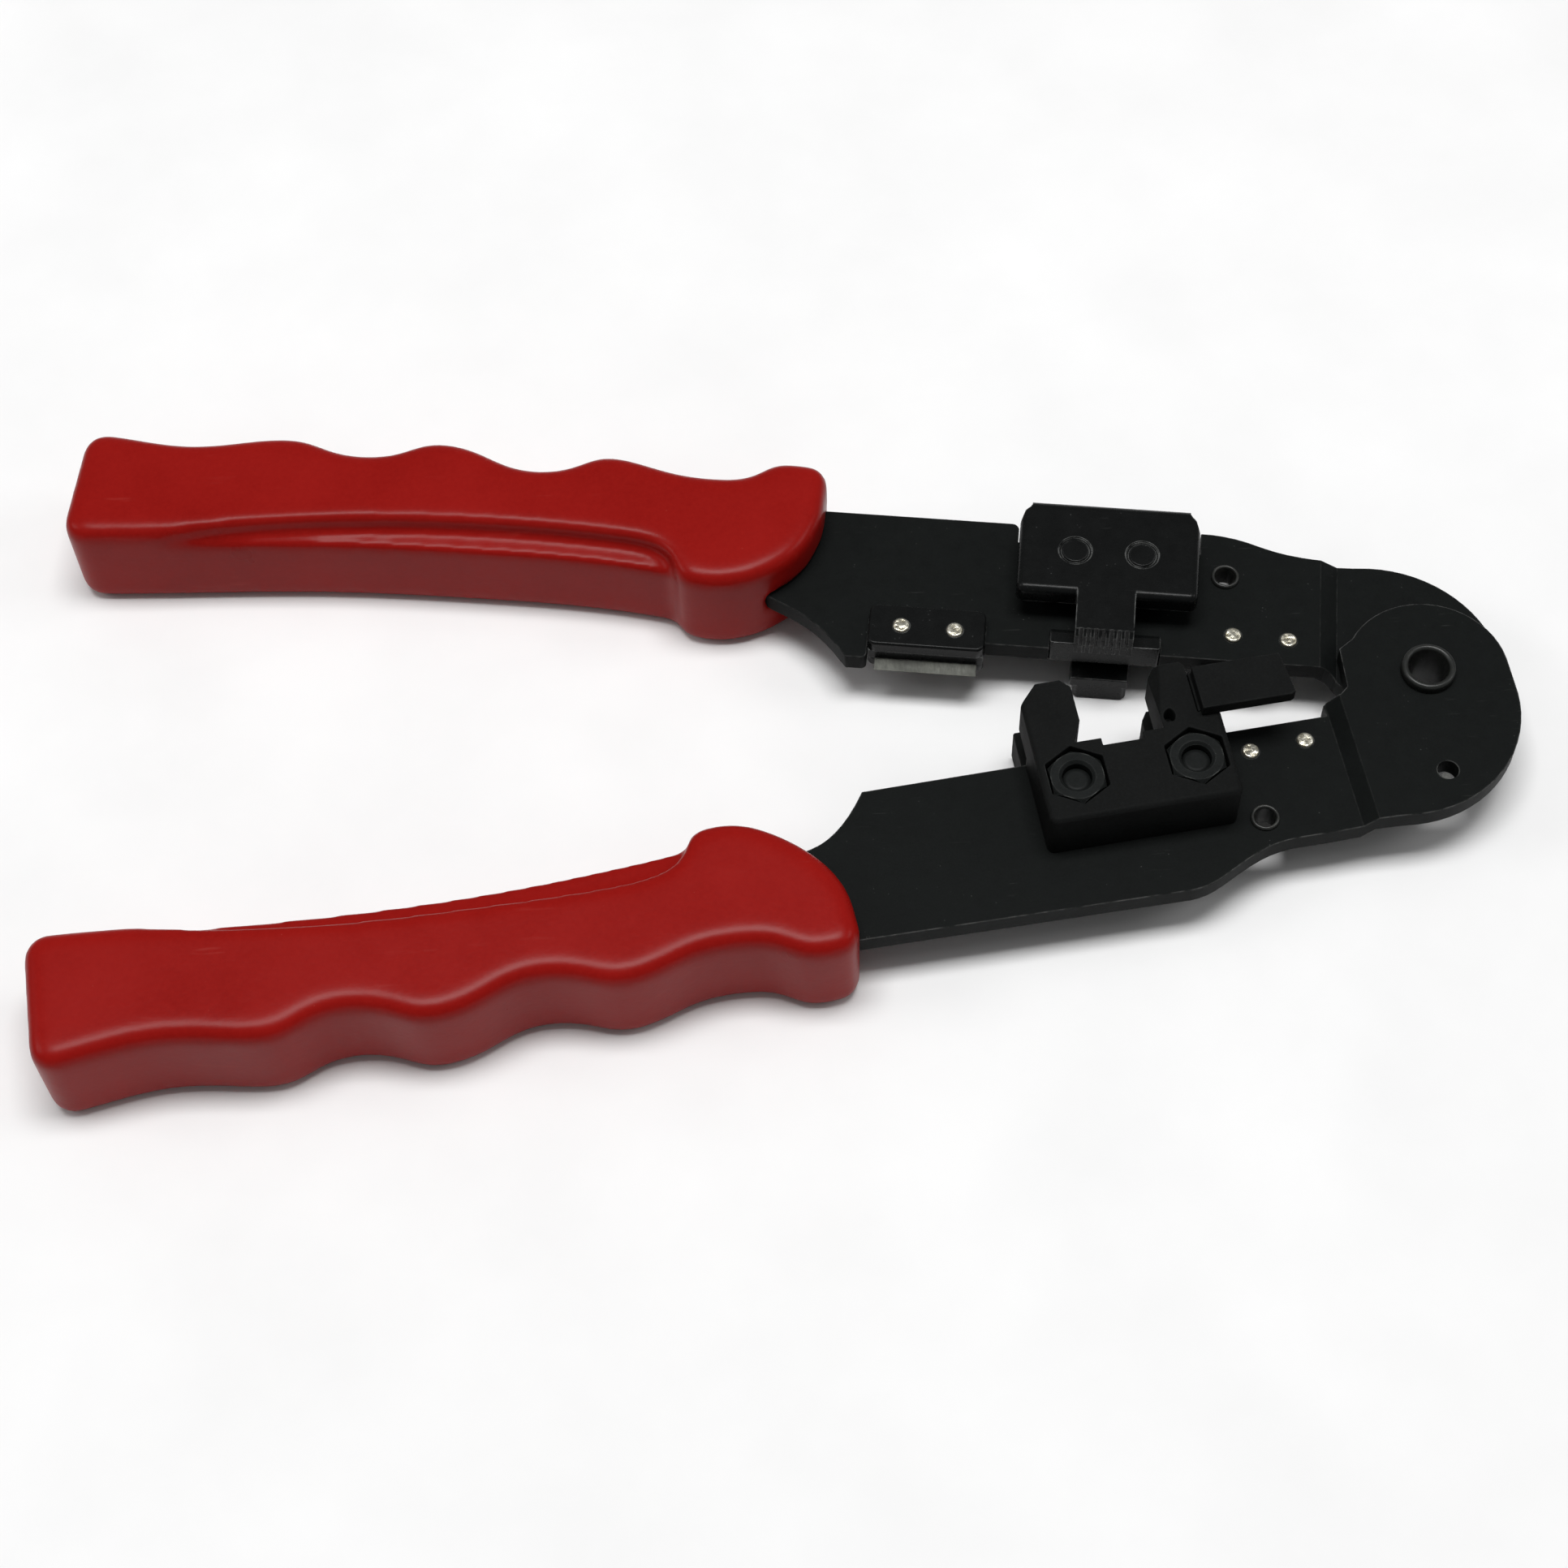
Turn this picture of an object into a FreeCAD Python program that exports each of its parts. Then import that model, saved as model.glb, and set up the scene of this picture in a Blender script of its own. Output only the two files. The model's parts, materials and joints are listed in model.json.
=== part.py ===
"""Hand crimping tool for six-way modular plugs: two crossed steel levers on one hollow rivet.

Millimetres, +Z up. The origin is on the pivot axis, midway through the lever plates, and the nose
points along +X. The tool lies on its back, open. Each lever is drawn in its own closed frame,
where its jaw edge runs along X, and turned by half of the opening to its rest place.
"""
import FreeCAD, Part
import math
import os

# Motion and stock
OPENING = 15.72           # angle between the levers when open, degrees
PLATE = 2.8               # lever plate thickness
HALF = PLATE / 2
LAP_GAP = 0.05            # each nose face stands this far off the mid-plane
NOSE_R = 17.8             # outer nose curve
DISC_R = 11.0             # inner nose disc, round the pivot

# Pivot
RIVET_R = 3.3             # outside of the hollow pivot rivet
RIVET_BORE = 2.7
RIM_R = 3.65
RIM_TOP = 4.3
PIVOT_PLAY = 0.05         # radial running clearance in the upper lever
WASHER_R = 4.8
WASHER_T = 0.8

# Return spring
WIRE_R = 0.6
COIL_R = 6.45
COIL_FULL_TURNS = 2       # and the part turn between the legs
COIL_NEAR = -3.85         # coil centre next to the nose
COIL_FAR = -6.75
LEG_BEND = 1.3            # where a leg starts to bend, before its hole
LOWER_HOOK = (-1.75, -15.5)
UPPER_HOOK = (-1.8, 9.1)

# Jaw line
UPPER_EDGE = 0.4
LOWER_EDGE = -3.5
PLUG_X = -43.7            # centre of the plug cavity
PLUG_WIDTH = 10.5
PLUG_FLOOR = -6.0
CRIMP_TIP = -1.15         # underside of both punches, closed

# Punch bracket
FLANGE_OUT = 7.85
FLANGE_T = 2.85
BRACKET_X = (-55.9, -31.3)
WEB_X = (-54.4, -32.7)
WEB_OUT = 20.8
BEND_R = 1.6
WING_Y = 5.5
NECK_X = (-47.6, -39.7)
PUNCH_RIVETS = ((-48.2, 12.4), (-39.1, 12.4))
PUNCH_RIVET_R = 1.85
PUNCH_BACK = 3.2          # where the punches start, off the mid-plane
INSERT_TOP = 2.9          # jaw strip under the comb

# Contact comb
TOOTH_PITCH = 1.02
TEETH = 6
SLOT_WIDTH = 0.48
SLOT_DEPTH = 0.85
TOOTH_BEVEL = 0.8

# Plug nest
NEST_OUT = -17.4
NEST_TOP = 9.5
NEST_BACK = -7.7
PRONG_TOP = 3.8
REAR_TOP = 3.6
PRONG_CLEAR = 3.4         # front prongs pass this far off the mid-plane
REAR_CLEAR = 1.7          # rear prongs pass just behind the upper lever
NEST_BOLTS = ((-51.1, -10.9), (-35.2, -10.95))
BOLT_R = 2.0
NUT_FLATS = 7.0
NUT_T = 3.2
NUT_SEAT = 6.0

# Cutter
CUTTER_X = (-75.5, -59.6)
CUTTER_PINS = ((-71.05, 1.1), (-63.75, 0.95))
CUTTER_TOP = 3.35
CUTTER_NOTCH = 3.3        # inner edge of the lever's notch
CAP_Y = (-2.1, 4.5)
BLADE_X = (-74.4, -60.5)
BLADE_Z = (-1.15, -0.45)
BLADE_EDGE = -3.4
BLADE_BEVEL = -1.9        # where the bevel starts

# Stripper
STRIP_UPPER_PINS = ((-26.0, 4.6), (-18.5, 4.4))
STRIP_LOWER_PINS = ((-26.15, -7.0), (-18.6, -6.7))
STRIP_BLADE_T = 0.8
PIN_R = 1.15

# Eyelets
UPPER_EYELET = (-27.3, 14.1)
LOWER_EYELET = (-26.9, -17.4)
EYELET_R = 1.95
EYELET_BORE = 1.4
EYELET_PROUD = 0.55

# Grips
GRIP_HALF = 7.95
LEDGE_TOP = 5.0
GRIP_EDGE_R = 2.0

V = FreeCAD.Vector


def at(point, z=0.0):
    """A vector from a plan point and a height."""
    return V(point[0], point[1], z)


def outline(start, *steps):
    """Closed wire in the XY plane.

    A step is an end point for a straight run, a (through, end) pair for an arc, or a list of
    points for a smooth curve that ends at the last of them.
    """
    edges = []
    here = start
    for step in steps:
        if isinstance(step, list):
            curve = Part.BSplineCurve()
            curve.interpolate([at(here)] + [at(p) for p in step])
            edges.append(curve.toShape())
            here = step[-1]
        elif isinstance(step[0], tuple):
            through, end = step
            edges.append(Part.Arc(at(here), at(through), at(end)).toShape())
            here = end
        else:
            edges.append(Part.LineSegment(at(here), at(step)).toShape())
            here = step
    if here != start:
        edges.append(Part.LineSegment(at(here), at(start)).toShape())
    return Part.Wire(edges)


def prism(wire, low, high):
    """Upright solid over a plan outline."""
    solid = Part.Face(wire).extrude(V(0, 0, high - low))
    solid.translate(V(0, 0, low))
    return solid


def block(xs, ys, zs):
    """Box between pairs of limits."""
    low = V(xs[0], ys[0], zs[0])
    return Part.makeBox(xs[1] - xs[0], ys[1] - ys[0], zs[1] - zs[0], low)


def rod(radius, point, low, high):
    """Upright cylinder."""
    return Part.makeCylinder(radius, high - low, at(point, low))


def revolve_about(point, profile):
    """Ring turned from (radius, height) corners about an upright axis."""
    corners = [V(r, 0, z) for r, z in profile]
    corners.append(corners[0])
    ring = Part.Face(Part.makePolygon(corners)).revolve(V(0, 0, 0), V(0, 0, 1), 360)
    ring.translate(at(point))
    return ring


def fuse_all(shapes):
    """One solid from touching shapes, with no seam faces."""
    whole = shapes[0].multiFuse(shapes[1:])
    return whole.removeSplitter()


def edges_where(shape, test):
    """Edges whose centre of mass passes a test."""
    return [e for e in shape.Edges if test(e.CenterOfMass, e)]


def is_upright(edge):
    """True for an edge that runs along Z."""
    if len(edge.Vertexes) < 2:
        return False
    a, b = edge.Vertexes[0].Point, edge.Vertexes[-1].Point
    return abs(a.x - b.x) + abs(a.y - b.y) < 1e-6 and abs(a.z - b.z) > 1e-3


def joggled_strip(rise, step_top, step_bottom):
    """Plate seen along Y that shifts by half its thickness, up or down, before the nose."""
    low = -HALF + rise
    high = HALF + rise
    corners = [
        V(-230, 0, -HALF), V(step_bottom[0], 0, -HALF), V(step_bottom[1], 0, low), V(40, 0, low),
        V(40, 0, high), V(step_top[1], 0, high), V(step_top[0], 0, HALF), V(-230, 0, HALF),
    ]
    strip = Part.Face(Part.makePolygon(corners + corners[:1])).extrude(V(0, 120, 0))
    strip.translate(V(0, -60, 0))
    return strip


# ---------------------------------------------------------------- levers

def make_upper_lever():
    plan = outline(
        (-174.0, 9.6), (-96.0, 9.6), (-89.2, 5.4),
        [(-86.5, 4.1), (-82.7, 1.6), (-80.4, -0.7), (-78.5, -3.0)],
        ((-78.3, -3.18), (-77.9, -3.2)), (-76.3, -3.2), ((-75.7, -2.95), (-75.5, -2.4)),
        (-75.5, CUTTER_NOTCH), (-59.6, CUTTER_NOTCH), (-59.6, UPPER_EDGE), (-50.8, UPPER_EDGE),
        (-50.8, 2.0), (-35.8, 2.0), (-35.8, UPPER_EDGE), (-13.6, UPPER_EDGE),
        ((-12.5, -0.1), (-11.9, -0.9)), (-10.83, -1.9),
        ((0, -DISC_R), (DISC_R, 0)), (10.9, 0.6),
        ((-6.9 + NOSE_R * math.cos(math.radians(45)), 0.6 + NOSE_R * math.sin(math.radians(45))),
         (-7.4, 18.4)),
        [(-14.2, 18.2), (-18.1, 18.6), (-21.5, 19.4), (-24.4, 20.4), (-27.5, 21.1), (-30.8, 21.3)],
        (-30.8, 17.8), (-56.0, 17.8), (-56.0, 19.9), ((-56.3, 20.6), (-57.0, 20.9)),
        (-88.0, 20.9), (-96.0, 17.2), (-172.0, 16.4), ((-174.6, 15.4), (-175.5, 13.0)),
        ((-175.2, 10.4), (-174.0, 9.6)),
    )
    lever = prism(plan, -8, 8).common(joggled_strip(-HALF - LAP_GAP, (-14.2, -11.8), (-14.7, -12.3)))
    holes = [rod(RIVET_R + PIVOT_PLAY, (0, 0), -8, 8), rod(WIRE_R + 0.15, UPPER_HOOK, -8, 8)]
    holes += [rod(PUNCH_RIVET_R, p, -8, 8) for p in PUNCH_RIVETS]
    holes += [rod(PIN_R, p, -8, 8) for p in STRIP_UPPER_PINS]
    holes.append(rod(EYELET_R - 0.4, UPPER_EYELET, -8, 8))
    return lever.cut(holes)


def make_lower_lever():
    plan = outline(
        (-174.0, -12.8), (-96.0, -12.8), (-88.5, -11.3),
        [(-86.5, -10.9), (-84.6, -10.2), (-82.3, -8.6), (-79.8, -5.9), (-78.1, LOWER_EDGE)],
        (-49.6, LOWER_EDGE), (-49.6, PLUG_FLOOR - 1.6), (-37.8, PLUG_FLOOR - 1.6),
        (-37.8, LOWER_EDGE), (-14.8, LOWER_EDGE), (-14.8, -1.9), (-14.3, -1.55), (-12.4, -1.3),
        (-11.2, -0.3), (-10.9, 3.0), (-10.65, 5.75), (-8.49, 7.0),
        ((0, DISC_R), (DISC_R, 0)), (10.9, -4.0),
        ((-6.9 + NOSE_R * math.cos(math.radians(45)), -4.0 - NOSE_R * math.sin(math.radians(45))),
         (-7.4, -21.3)),
        [(-13.0, -21.0), (-20.0, -21.1), (-26.0, -21.3), (-29.2, -22.3), (-32.3, -23.8),
         (-35.8, -25.5), (-38.8, -26.1)],
        (-84.0, -25.3), (-90.0, -24.8), (-97.0, -23.2), (-172.0, -22.4),
        ((-174.6, -21.4), (-175.5, -18.5)), ((-175.2, -14.4), (-174.0, -12.8)),
    )
    lever = prism(plan, -8, 8).common(joggled_strip(HALF + LAP_GAP, (-14.5, -12.6), (-14.6, -12.9)))
    holes = [rod(RIVET_R, (0, 0), -8, 8), rod(WIRE_R + 0.8, LOWER_HOOK, -8, 8)]
    holes += [rod(BOLT_R, p, -8, 8) for p in NEST_BOLTS]
    holes += [rod(PIN_R, p, -8, 8) for p in STRIP_LOWER_PINS]
    holes.append(rod(EYELET_R - 0.4, LOWER_EYELET, -8, 8))
    return lever.cut(holes)


# ---------------------------------------------------------------- grips

def grip_body(plan, recess, tang):
    """Moulded grip: rounded outline, a long recess above its inner ledge, and the tang's slot."""
    body = prism(plan, -GRIP_HALF, GRIP_HALF)
    body = body.makeFillet(3.2, edges_where(body, lambda c, e: is_upright(e) and c.x < -180))
    body = body.makeFillet(2.0, edges_where(body, lambda c, e: is_upright(e) and c.x > -90))
    rims = edges_where(body, lambda c, e: abs(abs(c.z) - GRIP_HALF) < 1e-4)
    body = body.makeFillet(GRIP_EDGE_R, rims)
    body = body.cut(prism(recess, LEDGE_TOP, GRIP_HALF + 1))
    return body.cut(tang)


def make_upper_grip(tang):
    plan = outline(
        (-188.0, 3.4),
        [(-176.5, 4.4), (-153.4, 6.6), (-130.2, 7.3), (-110.0, 6.8), (-104.6, 6.2)],
        [(-102.8, 5.4), (-101.6, 4.0), (-99.6, 3.3), (-96.5, 3.2), (-92.0, 4.4), (-88.6, 6.5),
         (-85.8, 9.3), (-84.1, 12.6), (-83.1, 16.5)],
        (-83.0, 22.5), (-84.3, 24.4),
        [(-88.0, 24.7), (-90.5, 24.4), (-93.5, 22.4), (-98.5, 21.4), (-103.8, 21.8), (-109.0, 23.1),
         (-115.5, 23.5), (-118.5, 21.9), (-122.5, 20.7), (-127.5, 21.2), (-132.0, 23.1),
         (-135.5, 24.1), (-139.8, 23.9), (-143.6, 22.1), (-148.0, 21.2), (-152.5, 21.7),
         (-156.5, 23.0), (-165.0, 22.4), (-173.0, 21.0), (-181.5, 21.6), (-188.0, 22.0)],
    )
    recess = outline(
        (-190.0, 0.2), (-120.0, -4.0), (-102.6, -2.0), (-102.6, 5.6),
        [(-103.7, 7.8), (-105.6, 9.1), (-110.0, 10.0), (-120.0, 10.5),
         (-131.0, 10.5), (-145.0, 9.8), (-157.0, 8.4), (-167.0, 6.6), (-178.0, 3.6), (-190.0, 0.2)],
    )
    return grip_body(plan, recess, tang)


def make_lower_grip(tang):
    plan = outline(
        (-188.0, -7.6),
        [(-176.5, -8.6), (-153.4, -10.5), (-135.7, -11.3), (-114.0, -10.8), (-104.6, -10.1)],
        [(-102.5, -9.4), (-101.0, -8.4), (-98.8, -8.0), (-95.2, -8.4), (-91.2, -10.4),
         (-87.4, -13.6), (-84.4, -17.6), (-82.9, -22.7)],
        (-82.7, -27.0), (-84.0, -29.0),
        [(-88.0, -29.5), (-90.5, -29.0), (-93.5, -27.2), (-98.5, -26.1), (-103.8, -26.4),
         (-109.0, -28.0), (-114.8, -28.5), (-118.5, -27.1), (-122.5, -26.0), (-127.5, -26.4),
         (-132.0, -28.2), (-135.5, -29.1), (-139.8, -28.9), (-143.6, -27.1), (-148.0, -25.9),
         (-152.5, -26.3), (-156.5, -27.9), (-165.0, -27.2), (-173.0, -26.0), (-181.5, -26.7),
         (-188.0, -27.4)],
    )
    recess = outline(
        (-190.0, -4.4), (-120.0, -2.0), (-101.0, -3.0), (-102.0, -9.4),
        [(-102.7, -11.0), (-104.2, -12.9), (-106.8, -14.1), (-113.0, -14.8), (-121.0, -14.8),
         (-131.0, -14.5), (-145.0, -13.8), (-157.0, -12.5), (-167.0, -10.8), (-178.0, -7.9),
         (-190.0, -4.4)],
    )
    return grip_body(plan, recess, tang)


# ---------------------------------------------------------------- pivot and spring

def make_pivot_rivet():
    near = HALF * 2 + LAP_GAP
    far = -near - WASHER_T - 0.1
    return revolve_about((0, 0), [
        (RIVET_BORE, far - 0.9), (RIVET_BORE + 0.3, far - 1.1), (RIM_R - 0.25, far - 0.9),
        (RIM_R, far - 0.5), (RIM_R, far), (RIVET_R, far), (RIVET_R, near), (RIM_R, near),
        (RIM_R, RIM_TOP - 0.6), (RIM_R - 0.25, RIM_TOP - 0.15), (RIVET_BORE + 0.35, RIM_TOP),
        (RIVET_BORE, RIM_TOP - 0.35),
    ])


def make_pivot_washer():
    top = -2 * HALF - LAP_GAP - 0.1
    washer = rod(WASHER_R, (0, 0), top - WASHER_T, top)
    washer = washer.makeChamfer(0.15, edges_where(washer, lambda c, e: abs(c.z - top + WASHER_T) < 1e-4))
    return washer.cut(rod(RIVET_R, (0, 0), -8, 0))


def turned(point, degrees):
    """Plan point turned about the pivot."""
    a = math.radians(degrees)
    x, y = point
    return (x * math.cos(a) - y * math.sin(a), x * math.sin(a) + y * math.cos(a))


def coil_exit(hook, side):
    """Angle in degrees where a leg leaves the coil along its tangent to reach a hook, and its run."""
    reach = math.hypot(*hook)
    angle = math.degrees(math.atan2(hook[1], hook[0])) + side * math.degrees(math.acos(COIL_R / reach))
    return angle, math.sqrt(reach ** 2 - COIL_R ** 2)


def spring_leg(exit_angle, hook, coil_z, hook_z, tip):
    """Centre line of a leg: a straight run that keeps the coil's slope, then a bend up into its hole."""
    start = at(turned((COIL_R, 0), exit_angle), coil_z)
    corner = at(hook, hook_z)
    along = (corner - start).normalize()
    bend_start = corner - along * LEG_BEND
    bend_end = corner + V(0, 0, LEG_BEND)
    half_angle = along.getAngle(V(0, 0, -1)) / 2
    inward = (V(0, 0, 1) - along).normalize()
    bend_r = LEG_BEND * math.tan(half_angle)
    middle = corner + inward * (LEG_BEND / math.cos(half_angle) - bend_r)
    return [
        Part.LineSegment(start, bend_start).toShape(),
        Part.Arc(bend_start, middle, bend_end).toShape(),
        Part.LineSegment(bend_end, at(hook, tip)).toShape(),
    ]


def make_return_spring():
    """Torsion spring round the rivet, at rest: a coil and a leg hooked into each lever."""
    near_hook = turned(UPPER_HOOK, -OPENING / 2)
    far_hook = turned(LOWER_HOOK, OPENING / 2)
    near_angle, near_run = coil_exit(near_hook, 1)
    far_angle, far_run = coil_exit(far_hook, -1)
    turns = ((far_angle - near_angle) % 360 + 360 * COIL_FULL_TURNS) / 360
    depth = COIL_NEAR - COIL_FAR
    slope = depth / (turns * 2 * math.pi * COIL_R)
    coil = Part.makeHelix(depth / turns, depth, COIL_R, 0, True)
    coil.rotate(V(0, 0, 0), V(1, 0, 0), 180)
    coil.rotate(V(0, 0, 0), V(0, 0, 1), near_angle)
    coil.translate(V(0, 0, COIL_NEAR))
    near_tip = -0.5
    near_leg = spring_leg(near_angle, near_hook, COIL_NEAR, COIL_NEAR + slope * near_run, near_tip)
    far_leg = spring_leg(far_angle, far_hook, COIL_FAR, COIL_FAR - slope * far_run, 1.2)
    path = Part.Wire(Part.__sortEdges__(near_leg[::-1] + coil.Edges + far_leg))
    section = Part.Wire(Part.makeCircle(WIRE_R, at(near_hook, near_tip), V(0, 0, -1)))
    return path.makePipeShell([section], True, True)


# ---------------------------------------------------------------- plug nest

def cavity(low, high):
    """Space for the plug, with the deeper slot for its latch."""
    half = PLUG_WIDTH / 2
    body = block((PLUG_X - half, PLUG_X + half), (PLUG_FLOOR, 20), (low, high))
    latch = block((-46.8, -41.3), (PLUG_FLOOR - 1.1, 0), (low, high))
    return fuse_all([body, latch])


def hexagon(centre, flats, low, high):
    """Hexagonal prism with a corner towards +Y."""
    r = flats / math.sqrt(3)
    corners = [(centre[0] + r * math.cos(math.radians(30 + 60 * k)),
                centre[1] + r * math.sin(math.radians(30 + 60 * k))) for k in range(6)]
    return prism(outline(*corners), low, high)


def make_nest_front():
    plan = outline(
        (-56.0, -16.4), (-56.0, 1.0), (-53.5, PRONG_TOP), (-50.2, PRONG_TOP), (-48.9, 2.5),
        (-38.5, 2.5), (-37.6, PRONG_TOP - 0.1), (-34.1, PRONG_TOP - 0.1),
        (-33.5, 3.0), (-33.5, -4.4), (-30.5, -4.4), (-30.5, -16.4), ((-30.8, -17.1), (-31.5, NEST_OUT)),
        (-55.0, NEST_OUT), ((-55.7, -17.1), (-56.0, -16.4)),
    )
    undercut = prism(outline((-48.9, -2.7), (-50.4, PLUG_FLOOR), (-48.9, PLUG_FLOOR)), 0, 20)
    body = prism(plan, HALF, NEST_TOP).cut([cavity(-20, 20), undercut])
    body = body.cut(block((-60, -30), (LOWER_EDGE - 0.1, 20), (0, PRONG_CLEAR)))
    top = edges_where(body, lambda c, e: abs(c.z - NEST_TOP) < 1e-4 and c.y < -16.0)
    body = body.makeFillet(0.7, top)
    for centre in NEST_BOLTS:
        body = body.cut(hexagon(centre, NUT_FLATS + 0.7, NUT_SEAT, NEST_TOP + 1))
        body = body.cut(rod(BOLT_R, centre, 0, NEST_TOP))
    guide = Part.makePolygon([
        V(-38.6, 3.9, 7.6), V(-38.6, 3.9, 9.8), V(-36.4, 3.9, 9.8), V(-38.6, 3.9, 7.6),
    ])
    tip = Part.Vertex(V(-38.45, -4.4, NEST_TOP))
    body = body.cut(Part.makeLoft([guide, tip], True))
    pocket = prism(outline((-37.8, -5.2), (-36.9, -5.2), ((-36.5, -4.2), (-37.0, -3.2)),
                           ((-37.7, -3.6), (-37.8, -5.2))), 7.0, NEST_TOP + 1)
    return body.cut(pocket)


def make_nest_rear():
    plan = outline(
        (-56.0, -16.4), (-56.0, REAR_TOP - 0.2), (-55.8, REAR_TOP), (-49.8, REAR_TOP), (-48.9, 2.2),
        (-38.5, 2.2), (-37.6, REAR_TOP), (-34.1, REAR_TOP), (-33.5, REAR_TOP - 0.7), (-33.5, -4.4),
        (-30.8, -4.4), (-30.8, -16.4), ((-31.1, -17.1), (-31.8, NEST_OUT)),
        (-55.0, NEST_OUT), ((-55.7, -17.1), (-56.0, -16.4)),
    )
    body = prism(plan, NEST_BACK, -HALF).cut(cavity(-20, 20))
    body = body.cut(block((-60, -30), (LOWER_EDGE - 0.1, 20), (-REAR_CLEAR, 0)))
    low = edges_where(body, lambda c, e: abs(c.z - NEST_BACK) < 1e-4 and c.y < -16.0)
    body = body.makeFillet(0.7, low)
    for centre in NEST_BOLTS:
        body = body.cut(rod(3.8, centre, NEST_BACK - 1, NEST_BACK + 2.4))
        body = body.cut(rod(BOLT_R, centre, NEST_BACK, 0))
    return body


def make_nest_bolts():
    """Pan-headed screws from the back, with domed ends inside the nuts."""
    bolts = []
    for centre in NEST_BOLTS:
        seat = NEST_BACK + 2.4
        head = rod(3.4, centre, seat - 2.2, seat)
        head = head.makeFillet(1.0, edges_where(head, lambda c, e: abs(c.z - seat + 2.2) < 1e-4))
        x, y = centre
        slot = block((x - 4, x + 4), (y - 0.5, y + 0.5), (seat - 3, seat - 1.1))
        shank = rod(BOLT_R, centre, seat, NEST_TOP - 1.3)
        shank = shank.makeFillet(0.8, edges_where(shank, lambda c, e: abs(c.z - NEST_TOP + 1.3) < 1e-4))
        bolts.append(fuse_all([head.cut(slot), shank]))
    return bolts


def make_nest_nuts():
    nuts = []
    for centre in NEST_BOLTS:
        nut = hexagon(centre, NUT_FLATS, NUT_SEAT, NUT_SEAT + NUT_T)
        crown = Part.makeCone(NUT_FLATS / 2 + NUT_T, NUT_FLATS / 2 - 0.1, NUT_T + 0.1, at(centre, NUT_SEAT))
        lead_in = Part.makeCone(BOLT_R, BOLT_R + 0.4, 0.4, at(centre, NUT_SEAT + NUT_T - 0.4))
        nuts.append(nut.common(crown).cut([rod(BOLT_R, centre, 0, 12), lead_in]))
    return nuts


def make_strip_stop():
    plate = prism(outline((-33.1, -5.2), (-21.2, -5.2), (-20.6, -4.9), (-21.2, 1.4), (-33.1, 1.4)),
                  NEST_TOP + 0.05, NEST_TOP + 1.9)
    foot = block((-33.4, -30.9), (-4.4, 1.8), (PRONG_CLEAR, NEST_TOP + 0.05))
    heel = block((-33.4, -30.9), (-4.4, LOWER_EDGE - 0.2), (HALF, PRONG_CLEAR))
    return fuse_all([plate, foot, heel])


# ---------------------------------------------------------------- stripper, eyelets

def stripper_blade(edge, back, xs, notch, pins, side):
    """Thin blade on the back of a lever; it reaches over the jaw edge along part of its length."""
    top = -HALF
    bottom = top - STRIP_BLADE_T
    plan = outline((xs[0], edge), (notch, edge), (notch + 0.8, edge + side * 2.0),
                   (xs[1], edge + side * 2.4), (xs[1], back), (xs[0], back))
    bevel = Part.Face(Part.makePolygon([
        V(xs[0] - 1, edge - side * 0.1, bottom - 0.1), V(xs[0] - 1, edge + side * 1.2, bottom - 0.1),
        V(xs[0] - 1, edge - side * 0.1, bottom + 0.6), V(xs[0] - 1, edge - side * 0.1, bottom - 0.1),
    ])).extrude(V(notch - xs[0] + 3, 0, 0))
    return prism(plan, bottom, top).cut([bevel] + [rod(PIN_R, p, -8, 8) for p in pins])


def domed_pins(points, low, high, flare):
    """Riveted pins with a low dome on each end."""
    pins = []
    for point in points:
        pin = rod(PIN_R, point, low, high)
        ends = edges_where(pin, lambda c, e: not is_upright(e))
        pins.append(pin.makeFillet(flare, [e for e in ends if len(e.Vertexes) == 1]))
    return pins


def eyelet(point):
    """Hollow rivet with a rolled rim on both faces."""
    out = HALF + EYELET_PROUD
    return revolve_about(point, [
        (EYELET_BORE, -out + 0.25), (EYELET_BORE + 0.2, -out), (EYELET_R - 0.2, -out),
        (EYELET_R, -out + 0.3), (EYELET_R, -HALF), (EYELET_R - 0.4, -HALF), (EYELET_R - 0.4, HALF),
        (EYELET_R, HALF), (EYELET_R, out - 0.3), (EYELET_R - 0.2, out), (EYELET_BORE + 0.2, out),
        (EYELET_BORE, out - 0.25),
    ])


# ---------------------------------------------------------------- cutter

def make_cutter_guard():
    x0, x1 = CUTTER_X
    y0, y1 = CAP_Y
    cap = block((x0, x1), (y0, y1), (HALF, CUTTER_TOP))
    cap = cap.makeFillet(1.1, edges_where(cap, lambda c, e: is_upright(e)))
    rim = edges_where(cap, lambda c, e: abs(c.z - CUTTER_TOP) < 1e-4)
    cap = cap.makeFillet(0.35, rim)
    lip = block((x0 + 0.1, x1 - 0.1), (BLADE_BEVEL, CUTTER_NOTCH - 0.1), (BLADE_Z[1], HALF))
    guard = fuse_all([cap, lip])
    return guard.cut([rod(PIN_R, p, -8, 8) for p in CUTTER_PINS])


def make_cutter_blade():
    profile = Part.makePolygon([
        V(BLADE_X[0], BLADE_EDGE, BLADE_Z[0] + 0.02), V(BLADE_X[0], BLADE_BEVEL, BLADE_Z[1]),
        V(BLADE_X[0], CUTTER_NOTCH - 0.2, BLADE_Z[1]), V(BLADE_X[0], CUTTER_NOTCH - 0.2, BLADE_Z[0]),
        V(BLADE_X[0], BLADE_EDGE, BLADE_Z[0]), V(BLADE_X[0], BLADE_EDGE, BLADE_Z[0] + 0.02),
    ])
    blade = Part.Face(profile).extrude(V(BLADE_X[1] - BLADE_X[0], 0, 0))
    return blade.cut([rod(PIN_R, p, -8, 8) for p in CUTTER_PINS])


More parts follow.
